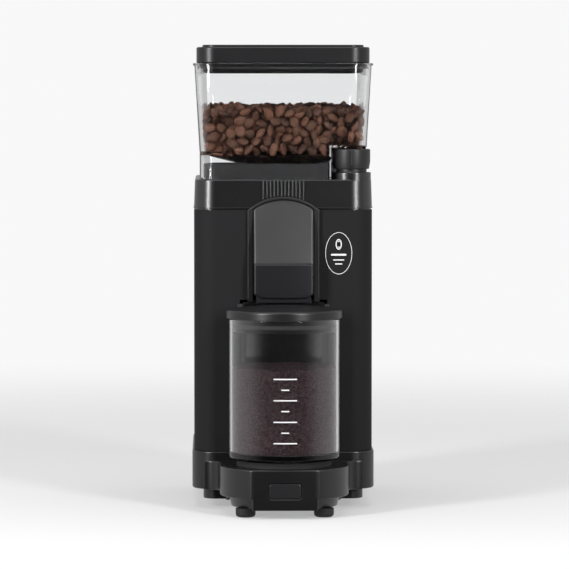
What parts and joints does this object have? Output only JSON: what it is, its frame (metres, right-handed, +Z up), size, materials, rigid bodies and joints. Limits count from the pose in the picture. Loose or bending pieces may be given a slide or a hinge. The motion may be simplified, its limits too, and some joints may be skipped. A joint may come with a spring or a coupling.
{
  "type": "burr coffee grinder",
  "caption": "Upright electric burr coffee grinder with a clear bean hopper, a corner knob that sets the grind, and a glass jar in a front bay.",
  "frame": {"origin": "on the table, under the middle of the grinder's box", "axes": "+Z up, -Y towards the user and the jar, +X to the user's right"},
  "size_m": [0.1472, 0.2518, 0.3738],
  "materials": {
    "housing_black": "fine moulded texture",
    "cap_black": "fine moulded texture",
    "sleeve_black": "matt powder coat",
    "lid_black": "satin moulded",
    "knob_black": "satin moulded",
    "cover_smoke": "satin, smoked",
    "nose_dark": "satin moulded",
    "clear_plastic": "clear polished",
    "jar_glass": "clear polished",
    "rubber_black": "matt",
    "seal_grey": "matt",
    "steel_plate": "rolled sheet",
    "steel_screw": "plated",
    "bearing_steel": "ground",
    "burr_steel": "hardened and ground",
    "motor_casting": "die cast",
    "laminations": "stacked laminations",
    "copper": "enamelled copper",
    "brass": "turned",
    "gear_plastic": "natural moulded",
    "fan_plastic": "moulded",
    "circuit_board": "laminate with parts",
    "capacitor_can": "drawn can",
    "terminal_plastic": "moulded",
    "wire_cover": "wire cover"
  },
  "bodies": {
    "housing": {"base_housing": "housing_black", "base_plate": "steel_plate", "base_plate_screws": "steel_screw", "rubber_feet": "rubber_black", "jar_pad": "rubber_black", "button_spring": "steel_screw", "power_switch": "fan_plastic", "cord_gland": "rubber_black", "body_sleeve": "sleeve_black", "front_frame": "cap_black", "chute_cover": "cover_smoke", "chute_nose": "nose_dark", "outlet_duct": "nose_dark", "jar_recess_liner": "housing_black", "top_cap": "cap_black", "cap_screws": "steel_screw", "hopper_collar": "cap_black", "chassis_plate": "steel_plate", "chassis_posts": "steel_screw", "post_nuts": "steel_screw", "top_deck": "steel_plate", "rubber_mounts": "rubber_black", "motor_lower_bell": "motor_casting", "motor_upper_bell": "motor_casting", "motor_tie_bolts": "steel_screw", "stator_core": "laminations", "stator_windings": "copper", "bearing_outer_rings": "bearing_steel", "bearing_balls": "bearing_steel", "grinding_chamber": "motor_casting", "chamber_screws": "steel_screw", "control_board": "circuit_board", "board_bracket": "steel_plate", "board_screws": "steel_screw", "run_capacitor": "capacitor_can", "capacitor_clamp": "steel_plate", "terminal_block": "terminal_plastic", "wiring_loom": "wire_cover"},
    "rotor": {"motor_shaft": "bearing_steel", "rotor_core": "laminations", "cooling_fan": "fan_plastic", "bearing_inner_rings": "bearing_steel", "burr_hub": "motor_casting", "burr_hub_bolt": "steel_screw", "lower_burr": "burr_steel", "lower_burr_screws": "steel_screw"},
    "burr_carrier": {"upper_burr_carrier": "brass", "upper_burr": "burr_steel", "upper_burr_screws": "steel_screw"},
    "ring": {"adjusting_ring": "gear_plastic"},
    "knob": {"adjusting_knob": "knob_black", "adjusting_shaft": "bearing_steel", "adjusting_pinion": "gear_plastic"},
    "button": {"power_button": "knob_black"},
    "bean_hopper": {"hopper": "clear_plastic"},
    "bean_lid": {"hopper_lid": "lid_black", "hopper_lid_seal": "seal_grey"},
    "glass_jar": {"jar": "jar_glass"},
    "glass_jar_lid": {"jar_lid": "lid_black", "jar_lid_seal": "seal_grey"}
  },
  "joints": [
    {"name": "rotor_spin", "type": "hinge", "parent": "housing", "child": "rotor", "pos_m": [0, 0.0209, 0.15], "axis": [0, 0, 1], "continuous": true},
    {"name": "ring_turn", "type": "hinge", "parent": "housing", "child": "ring", "pos_m": [0, 0.0209, 0.2555], "axis": [0, 0, 1], "range_deg": [-29.1, 29.1]},
    {"name": "knob_turn", "type": "hinge", "parent": "housing", "child": "knob", "pos_m": [0.0552, -0.0285, 0.28], "axis": [0, 0, 1], "range_deg": [-150, 150]},
    {"name": "burr_lift", "type": "slide", "parent": "housing", "child": "burr_carrier", "axis": [0, 0, 1], "range_m": [-0.0005, 0.0005]},
    {"name": "button_press", "type": "slide", "parent": "housing", "child": "button", "axis": [0, 1, 0], "range_m": [0, 0.0025], "stiffness_N_per_m": 600, "springref_m": -0.003, "deforming": ["button_spring"]},
    {"name": "hopper_lift", "type": "slide", "parent": "housing", "child": "bean_hopper", "axis": [0, 0, 1], "range_m": [0, 0.06]},
    {"name": "hopper_lid_lift", "type": "slide", "parent": "bean_hopper", "child": "bean_lid", "axis": [0, 0, 1], "range_m": [0, 0.03]},
    {"name": "jar_pull", "type": "slide", "parent": "housing", "child": "glass_jar", "axis": [0, -1, 0], "range_m": [0, 0.11]},
    {"name": "jar_lid_turn", "type": "hinge", "parent": "glass_jar", "child": "glass_jar_lid", "pos_m": [0, -0.0798, 0.16], "axis": [0, 0, 1], "continuous": true}
  ],
  "couplings": [
    {"joint": "knob_turn", "follows": "ring_turn", "ratio": -5.15},
    {"joint": "burr_lift", "follows": "ring_turn", "m_per_rad": 0.00095493}
  ]
}
